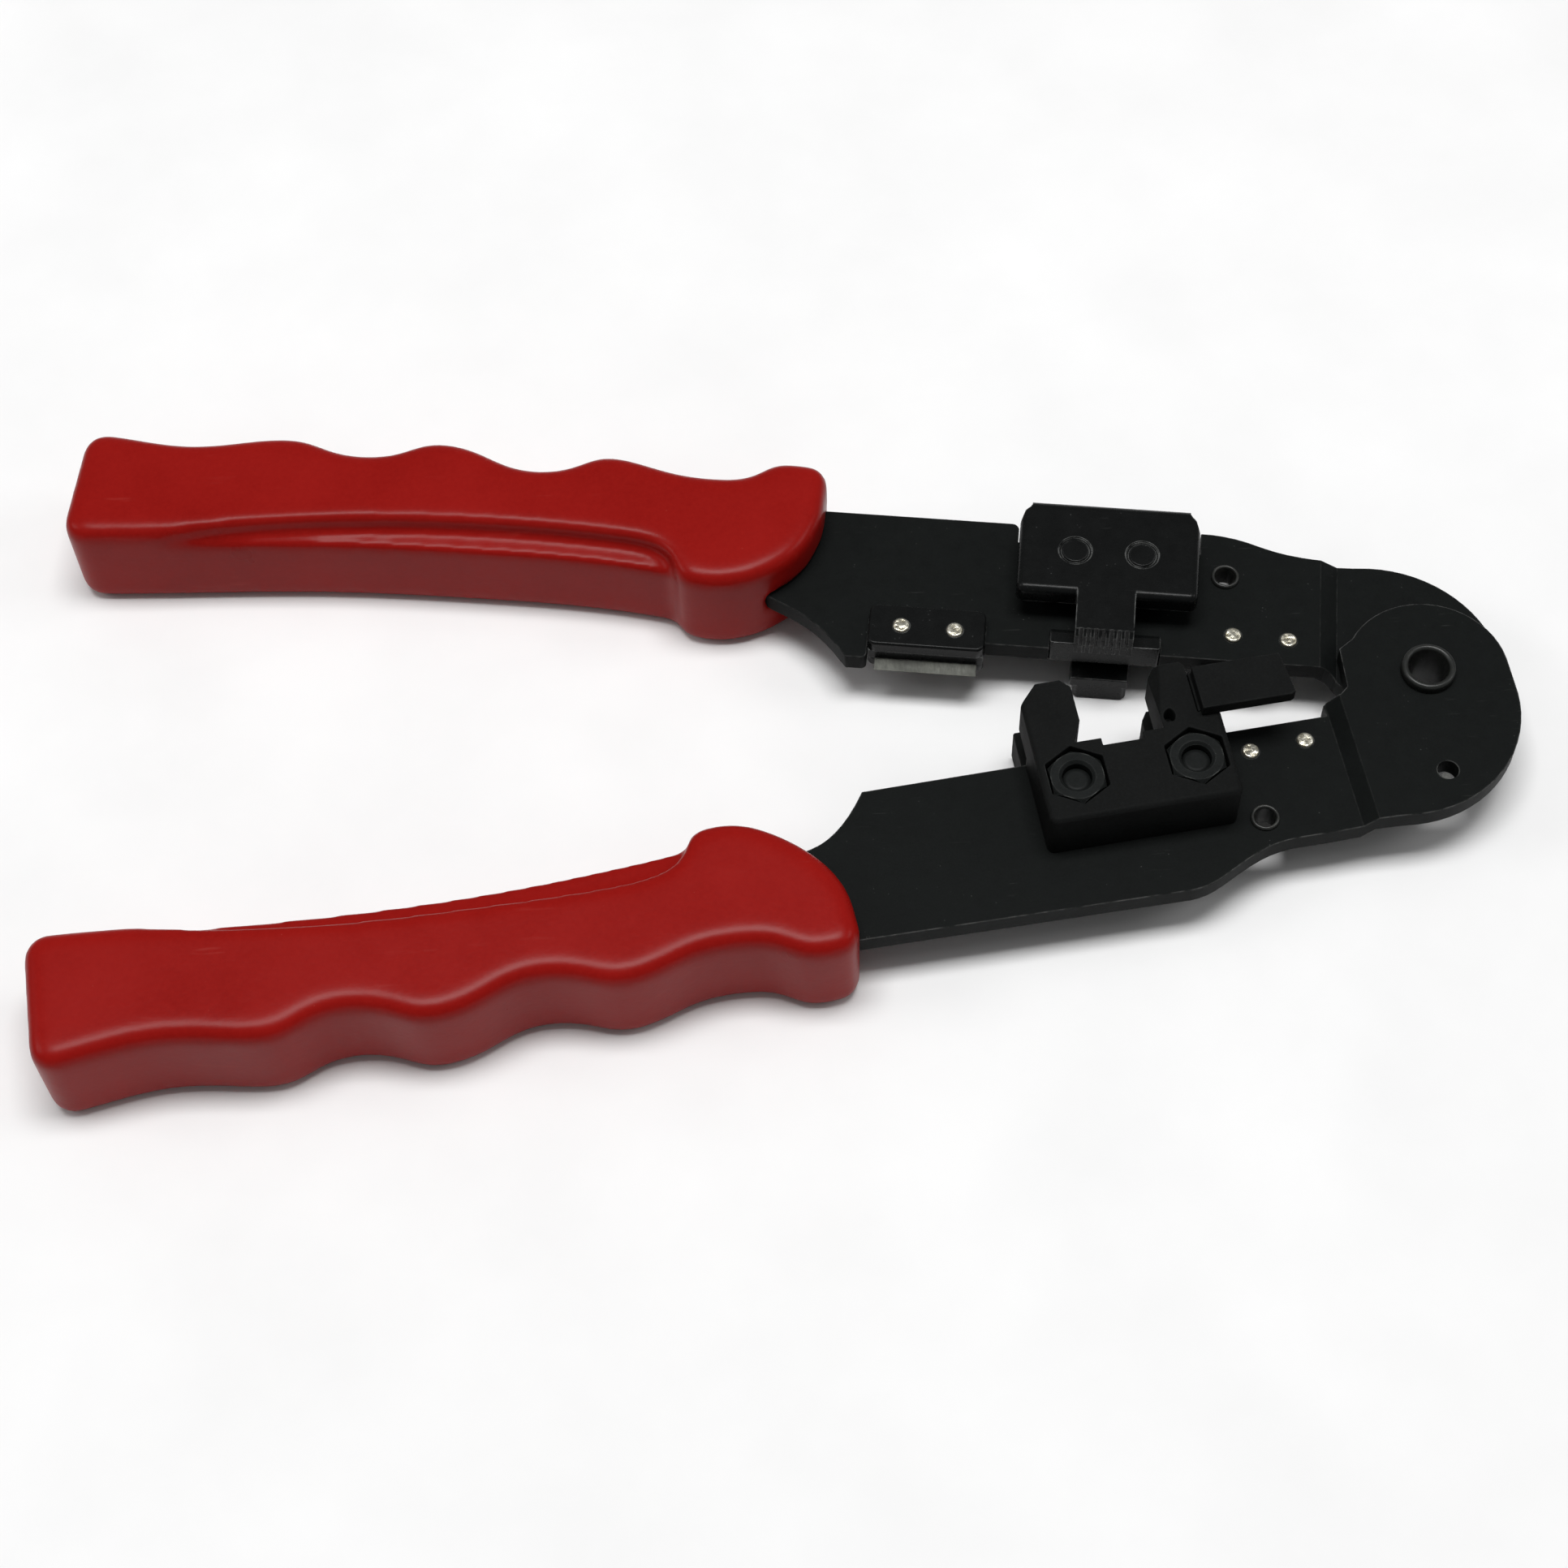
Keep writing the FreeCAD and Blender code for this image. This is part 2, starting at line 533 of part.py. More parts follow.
def make_cutter_backing():
    x0, x1 = CUTTER_X
    plate = block((x0, x1), (-1.4, 5.0), (-HALF - 1.4, -HALF))
    plate = plate.makeFillet(1.0, edges_where(plate, lambda c, e: is_upright(e)))
    shim = block((x0 + 0.1, x1 - 0.1), (-0.6, CUTTER_NOTCH - 0.1), (-HALF, BLADE_Z[0]))
    backing = fuse_all([plate, shim])
    return backing.cut([rod(PIN_R, p, -8, 8) for p in CUTTER_PINS])


# ---------------------------------------------------------------- punch

def comb_slots(low, high):
    """Slots that leave one tooth over each plug contact."""
    first = PLUG_X - TOOTH_PITCH * TEETH / 2
    slots = []
    for k in range(TEETH + 1):
        x = first + k * TOOTH_PITCH
        slots.append(block((x - SLOT_WIDTH / 2, x + SLOT_WIDTH / 2),
                           (CRIMP_TIP - 1, CRIMP_TIP + SLOT_DEPTH), (low, high)))
    return slots


def make_punch_bracket():
    inner = FLANGE_OUT - FLANGE_T
    x0, x1 = BRACKET_X
    y1 = WEB_OUT
    channel = block((x0, x1), (CRIMP_TIP, y1), (-FLANGE_OUT, FLANGE_OUT))
    bends = edges_where(channel, lambda c, e: c.y > y1 - 1e-4 and abs(abs(c.z) - FLANGE_OUT) < 1e-4)
    channel = channel.makeFillet(BEND_R, bends)
    channel = channel.cut(block((x0 - 1, x1 + 1), (-5, y1 - FLANGE_T), (-inner, inner)))
    plan = outline(
        (x0 + 1.2, WING_Y), (NECK_X[0], WING_Y), (NECK_X[0], CRIMP_TIP), (NECK_X[1], CRIMP_TIP),
        (NECK_X[1], WING_Y), (x1 - 1.2, WING_Y), ((x1 - 0.35, WING_Y + 0.35), (x1, WING_Y + 1.2)),
        (x1, 17.0), (x1 - 0.6, 18.7), (WEB_X[1] + 0.25, 19.3), (WEB_X[1], 19.8), (WEB_X[1], y1 + 1),
        (WEB_X[0], y1 + 1), (WEB_X[0], 19.8), (WEB_X[0] - 0.25, 19.3), (x0 + 0.6, 18.7), (x0, 17.0),
        (x0, WING_Y + 1.2), ((x0 + 0.35, WING_Y + 0.35), (x0 + 1.2, WING_Y)),
    )
    bracket = channel.common(prism(plan, -20, 20))
    slots = comb_slots(0, 20)
    chamfer = Part.Face(Part.makePolygon([
        V(-60, CRIMP_TIP, FLANGE_OUT), V(-60, CRIMP_TIP + TOOTH_BEVEL, FLANGE_OUT),
        V(-60, CRIMP_TIP, FLANGE_OUT - TOOTH_BEVEL), V(-60, CRIMP_TIP, FLANGE_OUT),
    ])).extrude(V(40, 0, 0))
    far_neck = block((x0, x1), (-5, 1.6), (-20, 0))
    bracket = bracket.cut(slots + [chamfer, far_neck])
    for point in PUNCH_RIVETS:
        bracket = bracket.cut(rod(PUNCH_RIVET_R, point, -9, 9))
        for z in (-FLANGE_OUT - 1, FLANGE_OUT - 0.25):
            groove = rod(PUNCH_RIVET_R + 0.42, point, z, z + 1.25)
            bracket = bracket.cut(groove)
    wings = edges_where(bracket, lambda c, e: abs(abs(c.z) - FLANGE_OUT) < 1e-4 and c.y < 17.0
                        and (c.x < NECK_X[0] - 0.1 or c.x > NECK_X[1] + 0.1)
                        and len(e.Vertexes) == 2)
    return bracket.makeFillet(1.0, wings)


def punch_plan(tip):
    """T-shaped punch blank between a flange and the jaw."""
    return outline((NECK_X[0], tip), (NECK_X[1], tip), (NECK_X[1], 7.2), (-36.2, 7.2), (-36.2, 17.7),
                   (-51.1, 17.7), (-51.1, 7.2), (NECK_X[0], 7.2))


def make_contact_comb():
    inner = FLANGE_OUT - FLANGE_T
    comb = prism(punch_plan(CRIMP_TIP), PUNCH_BACK, inner)
    return comb.cut(comb_slots(0, 20) + [rod(PUNCH_RIVET_R, p, -9, 9) for p in PUNCH_RIVETS])


def make_strain_punch():
    """Blunt punch at the back that presses the cable in the plug."""
    inner = FLANGE_OUT - FLANGE_T
    x0, x1 = NECK_X[0] + 0.4, NECK_X[1] - 0.1
    blank = prism(punch_plan(CRIMP_TIP), -inner, -PUNCH_BACK)
    tongue = block((x0, x1), (CRIMP_TIP, 1.6), (-FLANGE_OUT, -inner + 0.2))
    rim = edges_where(tongue, lambda c, e: is_upright(e) and c.y < CRIMP_TIP + 1e-4)
    tongue = tongue.makeChamfer(0.6, rim)
    whole = fuse_all([blank, tongue])
    return whole.cut([rod(PUNCH_RIVET_R, p, -9, 9) for p in PUNCH_RIVETS])


def make_punch_rivets():
    rivets = []
    for point in PUNCH_RIVETS:
        rivet = rod(PUNCH_RIVET_R, point, -FLANGE_OUT, FLANGE_OUT)
        rings = [e for e in rivet.Edges if len(e.Vertexes) == 1]
        rivets.append(rivet.makeFillet(0.2, rings))
    return rivets


def make_punch_spacers():
    """Sleeves on the rivets between the lever and the punches."""
    sleeves = []
    for point in PUNCH_RIVETS:
        for low, high in ((HALF, PUNCH_BACK), (-PUNCH_BACK, -HALF)):
            sleeve = rod(3.0, point, low, high)
            sleeves.append(sleeve.cut(rod(PUNCH_RIVET_R, point, -9, 9)))
    return sleeves


def make_jaw_insert():
    """Hard strip set in the jaw edge under the comb; its front stands proud of the lever."""
    xs = (-50.8, -35.8)
    edge = block(xs, (UPPER_EDGE, 2.0), (-HALF, HALF))
    pad = block(xs, (UPPER_EDGE, 3.4), (HALF, INSERT_TOP))
    pad = pad.makeChamfer(1.2, edges_where(pad, lambda c, e: c.y > 3.39 and c.z > INSERT_TOP - 1e-4))
    strip = fuse_all([edge, pad])
    ends = edges_where(strip, lambda c, e: is_upright(e) and c.y < UPPER_EDGE + 1e-4)
    return strip.makeFillet(0.4, ends)


# ---------------------------------------------------------------- assembly

def build_lower():
    lever = make_lower_lever()
    return {
        "lower_lever": lever,
        "lower_grip": make_lower_grip(lever),
        "plug_nest_front": make_nest_front(),
        "plug_nest_rear": make_nest_rear(),
        "nest_bolts": make_nest_bolts(),
        "nest_nuts": make_nest_nuts(),
        "strip_length_stop": make_strip_stop(),
        "stripper_blade_lower": stripper_blade(-2.15, -10.5, (-30.2, -16.0), -20.6, STRIP_LOWER_PINS, -1),
        "stripper_pins_lower": domed_pins(STRIP_LOWER_PINS, -2.5, 1.75, 0.3),
        "eyelet_lower": eyelet(LOWER_EYELET),
        "pivot_rivet": make_pivot_rivet(),
        "pivot_washer": make_pivot_washer(),
    }


def build_upper():
    lever = make_upper_lever()
    return {
        "upper_lever": lever,
        "upper_grip": make_upper_grip(lever),
        "punch_bracket": make_punch_bracket(),
        "contact_comb": make_contact_comb(),
        "strain_relief_punch": make_strain_punch(),
        "punch_rivets": make_punch_rivets(),
        "punch_spacers": make_punch_spacers(),
        "jaw_insert": make_jaw_insert(),
        "cutter_blade": make_cutter_blade(),
        "cutter_guard": make_cutter_guard(),
        "cutter_backing": make_cutter_backing(),
        "cutter_pins": domed_pins(CUTTER_PINS, -3.05, 3.65, 0.3),
        "stripper_blade_upper": stripper_blade(-0.85, 8.2, (-30.3, -15.8), -20.6, STRIP_UPPER_PINS, 1),
        "stripper_pins_upper": domed_pins(STRIP_UPPER_PINS, -2.5, 1.75, 0.3),
        "eyelet_upper": eyelet(UPPER_EYELET),
    }


def save(name, shape, angle):
    """Turn a node to its rest place and write it."""
    solids = shape if isinstance(shape, list) else shape.Solids
    for solid in solids:
        solid.rotate(V(0, 0, 0), V(0, 0, 1), angle)
        if not solid.isValid():
            print("not valid:", name)
    whole = solids[0] if len(solids) == 1 else Part.makeCompound(solids)
    whole.exportStep("parts/" + name + ".step")
    print(name, len(solids), "solids", round(sum(s.Volume for s in solids), 1), "mm3")


os.makedirs("parts", exist_ok=True)
for node, shape in build_lower().items():
    save(node, shape, OPENING / 2)
for node, shape in build_upper().items():
    save(node, shape, -OPENING / 2)
save("return_spring", make_return_spring(), 0)
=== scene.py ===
"""Crimping tool: materials, soft-edged mesh pieces, studio and camera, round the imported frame.

The scene is in metres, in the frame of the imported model: the origin is on the pivot axis, +X towards
the nose, +Y towards the upper lever, +Z up from the surface that the tool lies on. The sizes of the
pieces made here are in millimetres, and MM turns them into metres.
"""
import json
import math
import bmesh
import bpy
from mathutils import Matrix, Vector


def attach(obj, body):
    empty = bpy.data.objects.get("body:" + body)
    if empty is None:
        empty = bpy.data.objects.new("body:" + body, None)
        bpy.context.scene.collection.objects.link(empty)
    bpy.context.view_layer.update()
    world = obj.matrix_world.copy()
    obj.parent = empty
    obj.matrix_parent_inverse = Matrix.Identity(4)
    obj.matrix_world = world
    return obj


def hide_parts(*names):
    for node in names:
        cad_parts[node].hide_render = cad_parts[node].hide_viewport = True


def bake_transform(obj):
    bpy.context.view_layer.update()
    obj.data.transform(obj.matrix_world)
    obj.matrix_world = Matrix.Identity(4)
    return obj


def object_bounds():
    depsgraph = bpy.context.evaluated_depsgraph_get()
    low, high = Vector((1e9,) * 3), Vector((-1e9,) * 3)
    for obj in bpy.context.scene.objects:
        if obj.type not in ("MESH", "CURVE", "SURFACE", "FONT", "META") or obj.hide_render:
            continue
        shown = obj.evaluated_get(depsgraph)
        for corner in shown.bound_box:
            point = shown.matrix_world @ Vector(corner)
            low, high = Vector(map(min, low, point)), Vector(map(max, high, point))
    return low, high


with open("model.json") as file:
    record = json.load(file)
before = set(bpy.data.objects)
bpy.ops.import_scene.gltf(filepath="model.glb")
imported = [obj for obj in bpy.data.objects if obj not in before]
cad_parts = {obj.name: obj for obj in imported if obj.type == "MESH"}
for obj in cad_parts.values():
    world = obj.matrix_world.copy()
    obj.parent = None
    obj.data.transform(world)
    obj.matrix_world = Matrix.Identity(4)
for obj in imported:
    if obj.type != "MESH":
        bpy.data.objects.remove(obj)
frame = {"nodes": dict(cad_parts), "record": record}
cad_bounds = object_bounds()
nodes = frame["nodes"]

MM = 0.001
REST_HALF = math.radians(7.86)     # each lever's turn from its closed place to rest
EDGE_SAMPLES = 6                   # rays that look for an edge at each point of the lighter edges, which are partly abrasion and partly painted highlight


def turned(point, angle):
    """The point turned about the pivot axis."""
    x, y = point
    return (x * math.cos(angle) - y * math.sin(angle), x * math.sin(angle) + y * math.cos(angle))


def shade(colour, factor):
    return tuple(factor * channel for channel in colour)


# ---------------------------------------------------------------- node-tree helpers

class Shader:
    """A small builder for one procedural material."""

    def __init__(self, name, **constants):
        self.material = bpy.data.materials.new(name)
        self.material.use_nodes = True
        self.tree = self.material.node_tree
        self.bsdf = self.tree.nodes["Principled BSDF"]
        for socket, value in constants.items():
            self.bsdf.inputs[socket.replace("_", " ")].default_value = value
        self.place = self.add("ShaderNodeTexCoord").outputs["Object"]

    def add(self, kind, **settings):
        node = self.tree.nodes.new(kind)
        for key, value in settings.items():
            setattr(node, key, value)
        return node

    def link(self, source, target):
        self.tree.links.new(source, target)

    def noise(self, scale, detail=4.0, roughness=0.55, stretch=None):
        """Noise of a given number of features per metre; stretch squeezes it along the axes."""
        texture = self.add("ShaderNodeTexNoise")
        texture.inputs["Scale"].default_value = scale
        texture.inputs["Detail"].default_value = detail
        texture.inputs["Roughness"].default_value = roughness
        place = self.place
        if stretch:
            mapping = self.add("ShaderNodeMapping")
            mapping.inputs["Scale"].default_value = stretch
            self.link(place, mapping.inputs["Vector"])
            place = mapping.outputs["Vector"]
        self.link(place, texture.inputs["Vector"])
        return texture.outputs["Fac"]

    def cells(self, scale, feature="F1"):
        texture = self.add("ShaderNodeTexVoronoi", feature=feature)
        texture.inputs["Scale"].default_value = scale
        self.link(self.place, texture.inputs["Vector"])
        return texture.outputs["Distance"]

    def span(self, value, low, high, out_low=0.0, out_high=1.0):
        """Value from low..high mapped to out_low..out_high, held at the ends."""
        node = self.add("ShaderNodeMapRange")
        ends = {"From Min": low, "From Max": high, "To Min": out_low, "To Max": out_high}
        for socket, number in ends.items():
            node.inputs[socket].default_value = number
        self.link(value, node.inputs["Value"])
        return node.outputs["Result"]

    def maths(self, operation, a, b):
        node = self.add("ShaderNodeMath", operation=operation)
        for socket, value in zip(node.inputs, (a, b)):
            if isinstance(value, (int, float)):
                socket.default_value = value
            else:
                self.link(value, socket)
        return node.outputs[0]

    def times(self, a, b):
        return self.maths("MULTIPLY", a, b)

    def mix(self, factor, a, b):
        """Colour between a and b; each is a colour or a socket."""
        node = self.add("ShaderNodeMix", data_type="RGBA")
        self.link(factor, node.inputs["Factor"])
        for socket, value in ((node.inputs["A"], a), (node.inputs["B"], b)):
            if isinstance(value, tuple):
                socket.default_value = (*value, 1.0)
            else:
                self.link(value, socket)
        return node.outputs["Result"]

    def edges(self, radius, low, high):
        """1 on convex edges within radius, 0 on flat areas."""
        bevel = self.add("ShaderNodeBevel", samples=EDGE_SAMPLES)
        bevel.inputs["Radius"].default_value = radius
        geometry = self.add("ShaderNodeNewGeometry")
        dot = self.add("ShaderNodeVectorMath", operation="DOT_PRODUCT")
        self.link(bevel.outputs["Normal"], dot.inputs[0])
        self.link(geometry.outputs["Normal"], dot.inputs[1])
        return self.span(dot.outputs["Value"], high, low)

    def bump(self, height, distance, strength):
        node = self.add("ShaderNodeBump")
        node.inputs["Strength"].default_value = strength
        node.inputs["Distance"].default_value = distance
        self.link(height, node.inputs["Height"])
        self.link(node.outputs["Normal"], self.bsdf.inputs["Normal"])

    def colour(self, socket):
        self.link(socket, self.bsdf.inputs["Base Color"])

    def roughness(self, socket):
        self.link(socket, self.bsdf.inputs["Roughness"])


# ---------------------------------------------------------------- materials
# The first number of a noise or of cells is its features per metre; a span's four numbers are the
# ends that go in and the ends that come out.

VINYL_DEEP = (0.205, 0.0040, 0.0028)
VINYL_FULL = (0.245, 0.0055, 0.0040)
VINYL_GRAIN = (0.285, 0.009, 0.006)
VINYL_SCUFFED = (0.42, 0.075, 0.06)
# The nest's lighter corners: partly abrasion, partly painted highlight.
CASTING_EDGE_WEAR_AND_HIGHLIGHT = (0.10, 0.105, 0.10)
NICKEL_HOLLOW = (0.34, 0.31, 0.22)
NICKEL_BRIGHT = (0.66, 0.64, 0.55)
NICKEL_STAIN = (0.30, 0.27, 0.20)
BOARD_TONES = ((0.80, 0.80, 0.80), (0.84, 0.84, 0.84))


def oxide_steel(name, base, wear_and_highlight_colour, edge_wear_and_highlight_amount, rough=(0.48, 0.56), ior=1.14):
    """Black-oxide steel: mottled, finely pitted, scratched, with lighter edges that are partly abrasion
    and partly painted highlight.
    """
    s = Shader(name, Metallic=0.1, IOR=ior)
    mottle = s.noise(420.0, detail=6.0, roughness=0.68)
    fine = s.noise(4200.0, detail=3.0, roughness=0.7)
    pits = s.noise(1300.0, detail=3.0)
    specks = s.times(s.span(s.cells(1500.0), 0.06, 0.16, 1.0, 0.0),
                     s.span(s.noise(420.0, detail=2.0), 0.60, 0.68))
    lines = s.noise(2600.0, detail=2.0, roughness=0.4, stretch=(0.09, 1.0, 1.0))
    scratch = s.times(s.span(lines, 0.68, 0.76), s.span(s.noise(130.0, detail=2.0), 0.5, 0.66))
    # Lighter convex edges: partly abrasion through the oxide, partly painted highlight on the edges.
    edge_wear_and_highlight = s.times(s.edges(radius=0.00034, low=0.80, high=0.985),
                     s.span(s.noise(620.0, detail=5.0), 0.34, 0.60))
    edge_wear_and_highlight = s.times(edge_wear_and_highlight, edge_wear_and_highlight_amount)
    tone = s.mix(s.span(mottle, 0.30, 0.72), shade(base, 0.84), shade(base, 1.18))
    tone = s.mix(s.span(fine, 0.35, 0.7, 0.0, 0.35), tone, shade(base, 1.9))
    light = s.maths("MAXIMUM", s.times(specks, 0.22), s.times(scratch, 0.06))
    # Specks and scratches take the lighter colour as real marks; on the edges it is partly painted
    # highlight.
    s.colour(s.mix(s.maths("MAXIMUM", light, edge_wear_and_highlight), tone, wear_and_highlight_colour))
    rough_map = s.span(mottle, 0.3, 0.7, rough[0], rough[1])
    s.roughness(s.maths("SUBTRACT", rough_map, s.times(edge_wear_and_highlight, 0.12)))
    height = s.maths("ADD", s.times(fine, 0.6), s.times(pits, 0.8))
    height = s.maths("SUBTRACT", height, s.times(scratch, 0.5))
    s.bump(height, distance=0.00003, strength=0.55)
    return s.material


def moulded_vinyl(name):
    """Red moulded vinyl: satin, with soft mottling, faint scuffs and a few specks of dust."""
    s = Shader(name, IOR=1.2)
    broad = s.noise(55.0, detail=4.0, roughness=0.6)
    fine = s.noise(1700.0, detail=4.0, roughness=0.65)
    lines = s.noise(700.0, detail=3.0, roughness=0.6, stretch=(0.12, 1.0, 1.0))
    scuff = s.times(s.span(lines, 0.62, 0.74), s.span(s.noise(60.0, detail=3.0), 0.48, 0.66))
    dust = s.times(s.span(s.cells(620.0), 0.035, 0.06, 1.0, 0.0),
                   s.span(s.noise(140.0, detail=1.0), 0.58, 0.64))
    tone = s.mix(s.span(broad, 0.3, 0.7), VINYL_DEEP, VINYL_FULL)
    tone = s.mix(s.span(fine, 0.35, 0.75, 0.0, 0.35), tone, VINYL_GRAIN)
    marks = s.maths("MAXIMUM", s.times(scuff, 0.20), s.times(dust, 0.30))
    s.colour(s.mix(marks, tone, VINYL_SCUFFED))
    rough = s.span(broad, 0.3, 0.7, 0.27, 0.33)
    s.roughness(s.maths("ADD", rough, s.times(scuff, 0.12)))
    height = s.maths("ADD", s.times(fine, 0.5), s.noise(420.0, detail=3.0))
    s.bump(height, distance=0.00006, strength=0.4)
    return s.material


def cast_black(name, base):
    """Nest casting: matte and even, with a fine sand texture and softly lighter corners, partly abrasion
    and partly painted highlight.
    """
    s = Shader(name, IOR=1.12)
    broad = s.noise(180.0, detail=4.0)
    grit = s.noise(3200.0, detail=3.0, roughness=0.7)
    # Lighter corners: partly abrasion, partly painted highlight.
    edge_wear_and_highlight = s.times(s.edges(radius=0.0004, low=0.7, high=0.97),
                     s.span(s.noise(400.0, detail=4.0), 0.35, 0.65))
    tone = s.mix(s.span(broad, 0.3, 0.7), shade(base, 0.82), shade(base, 1.2))
    tone = s.mix(s.span(grit, 0.45, 0.75, 0.0, 0.4), tone, shade(base, 2.0))
    s.colour(s.mix(s.times(edge_wear_and_highlight, 0.30), tone, CASTING_EDGE_WEAR_AND_HIGHLIGHT))
    s.roughness(s.span(broad, 0.3, 0.7, 0.55, 0.7))
    s.bump(s.maths("ADD", grit, s.times(broad, 0.5)), distance=0.00004, strength=0.6)
    return s.material


def ground_steel(name, base, lay, rough):
    """Bare ground steel; the lay squeezes the grinding lines along each axis."""
    s = Shader(name, Metallic=0.85)
    lines = s.noise(2600.0, detail=3.0, roughness=0.6, stretch=lay)
    stain = s.noise(210.0, detail=4.0)
    tone = s.mix(s.span(lines, 0.3, 0.7), shade(base, 0.7), shade(base, 1.15))
    s.colour(s.mix(s.span(stain, 0.48, 0.72, 0.0, 0.5), tone, shade(base, 0.45)))
    s.roughness(s.span(stain, 0.3, 0.7, rough[0], rough[1]))
    s.bump(lines, distance=0.00002, strength=0.5)
    return s.material


def hammered_nickel(name):
    """Bright pin ends, dimpled by riveting, with a warm cast in the hollows."""
    s = Shader(name, Metallic=0.9)
    dimples = s.cells(1500.0, "SMOOTH_F1")
    fine = s.noise(3800.0, detail=3.0)
    tone = s.mix(s.span(dimples, 0.1, 0.6), NICKEL_HOLLOW, NICKEL_BRIGHT)
    s.colour(s.mix(s.span(fine, 0.55, 0.75, 0.0, 0.6), tone, NICKEL_STAIN))
    s.roughness(s.span(fine, 0.3, 0.7, 0.18, 0.42))
    s.bump(s.maths("ADD", dimples, s.times(fine, 0.3)), distance=0.00016, strength=0.8)
    return s.material


def floor_material():
    """Pale matte board with a barely visible unevenness."""
    s = Shader("studio_floor", Roughness=0.85, Specular_IOR_Level=0.15)
    s.colour(s.mix(s.span(s.noise(40.0), 0.3, 0.7), *BOARD_TONES))
    return s.material


# The second colour of each oxide finish lightens its specks, scratches and edges; on the edges it is
# partly painted highlight.
LEVER = oxide_steel("lever_black_oxide", (0.0048, 0.0056, 0.0054), (0.17, 0.17, 0.165), 0.6)
PUNCH = oxide_steel("punch_black_oxide", (0.0042, 0.0046, 0.0046), (0.20, 0.205, 0.20), 0.8,
                    rough=(0.24, 0.30), ior=1.22)
RIVETS = oxide_steel("rivet_dark_steel", (0.012, 0.013, 0.012), (0.34, 0.33, 0.30), 1.0,
                     rough=(0.28, 0.40), ior=1.4)
BOLTS = oxide_steel("bolt_black_oxide", (0.0085, 0.0095, 0.0093), (0.10, 0.105, 0.10), 0.8,
                    rough=(0.36, 0.52))
GRIP = moulded_vinyl("grip_red_vinyl")
NEST = cast_black("nest_matte_black", (0.0058, 0.0062, 0.0061))
BLADE = ground_steel("blade_ground_steel", (0.075, 0.077, 0.068), lay=(1.0, 0.05, 1.0),
                     rough=(0.40, 0.55))
SPRING = ground_steel("spring_wire", (0.20, 0.20, 0.19), lay=(1.0, 1.0, 0.3), rough=(0.22, 0.36))
PINS = hammered_nickel("pin_hammered_nickel")

FINISH = {
    "lever_steel": LEVER,
    "grip_vinyl": GRIP,
    "nest_black": NEST,
    "punch_steel": PUNCH,
    "blade_steel": BLADE,
    "pin_nickel": PINS,
    "rivet_steel": RIVETS,
    "bolt_black": BOLTS,
    "spring_steel": SPRING,
}
SLOT_OF = {s["node"]: s["material_slot"] for s in frame["record"]["subparts"]}


def dress(obj, material):
    """One material over the whole object."""
    obj.data.materials.clear()
    obj.data.materials.append(material)


# ---------------------------------------------------------------- carried-over nodes

SOFT_EDGE = {       # rounding of the edges of each material slot's nodes, in millimetres
    "lever_steel": 0.22,
    "nest_black": 0.30,
    "punch_steel": 0.16,
    "blade_steel": 0.05,
    "pin_nickel": 0.06,
    "rivet_steel": 0.12,
    "bolt_black": 0.18,
}
FINE_NODES = {"contact_comb": 0.06, "punch_bracket": 0.07, "jaw_insert": 0.12}
WELD_GAP = 2e-6                     # metres; closes the seams between the CAD mesh's faces
FLAT_TURN = math.radians(0.4)       # faces closer than this to one plane become one face
EDGE_TURN = math.radians(32.0)      # only edges sharper than this are rounded


def soften(obj, width):
    """Small rounded edges on a CAD node, as modifiers only, so that its own mesh is unchanged."""
    weld = obj.modifiers.new("weld", "WELD")
    weld.merge_threshold = WELD_GAP
    flat = obj.modifiers.new("flat_faces", "DECIMATE")
    flat.decimate_type = "DISSOLVE"
    flat.angle_limit = FLAT_TURN
    bevel = obj.modifiers.new("edge", "BEVEL")
    bevel.width = width * MM
    bevel.segments = 3
    bevel.limit_method = "ANGLE"
    bevel.angle_limit = EDGE_TURN
    normals = obj.modifiers.new("normals", "WEIGHTED_NORMAL")
    normals.keep_sharp = True


def dress_cad_nodes():
    for name, obj in nodes.items():
        slot = SLOT_OF[name]
        dress(obj, FINISH[slot])
        width = FINE_NODES.get(name, SOFT_EDGE.get(slot))
        if width:
            soften(obj, width)


# ---------------------------------------------------------------- pieces made here

SKIN_VOXEL = 0.5       # millimetres
MELT_STEPS = 26        # smoothing passes; more of them round the grips' edges further
CROWN_STEPS = 12       # straight parts in the half-round of a rolled rim
COIL_R = 6.45          # the spring, in millimetres
COIL_Z = (-3.85, -6.75)
WIRE_R = 0.6
LEG_BEND = 1.3
HOOKS = ((-1.8, 9.1), (-1.75, -15.5))     # upper and lower lever, drawn closed
HOOK_TIPS = (-0.5, 1.2)
WHOLE_TURNS = 2        # turns of the coil beyond the part-turn between the two legs
BEND_STEPS = 8
COIL_STEPS = 200
TWIST_LEAN = 0.5       # how far the twist leans outwards, for each millimetre down the coil


def add_piece(name, mesh, node, body=None):
    """Link a smooth piece that stands for a CAD node, with that node's finish and body."""
    piece = bpy.data.objects.new(name, mesh)
    bpy.context.scene.collection.objects.link(piece)
    for polygon in mesh.polygons:
        polygon.use_smooth = True
    dress(piece, FINISH[SLOT_OF[node]])
    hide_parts(node)
    if body:
        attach(piece, body)
    return piece


def baked(obj, name):
    """The object's mesh with its modifiers or bevel applied; the object itself is removed."""
    bpy.context.view_layer.update()
    evaluated = obj.evaluated_get(bpy.context.evaluated_depsgraph_get())
    mesh = bpy.data.meshes.new_from_object(evaluated)
    mesh.name = name
    bpy.data.objects.remove(obj)
    return mesh


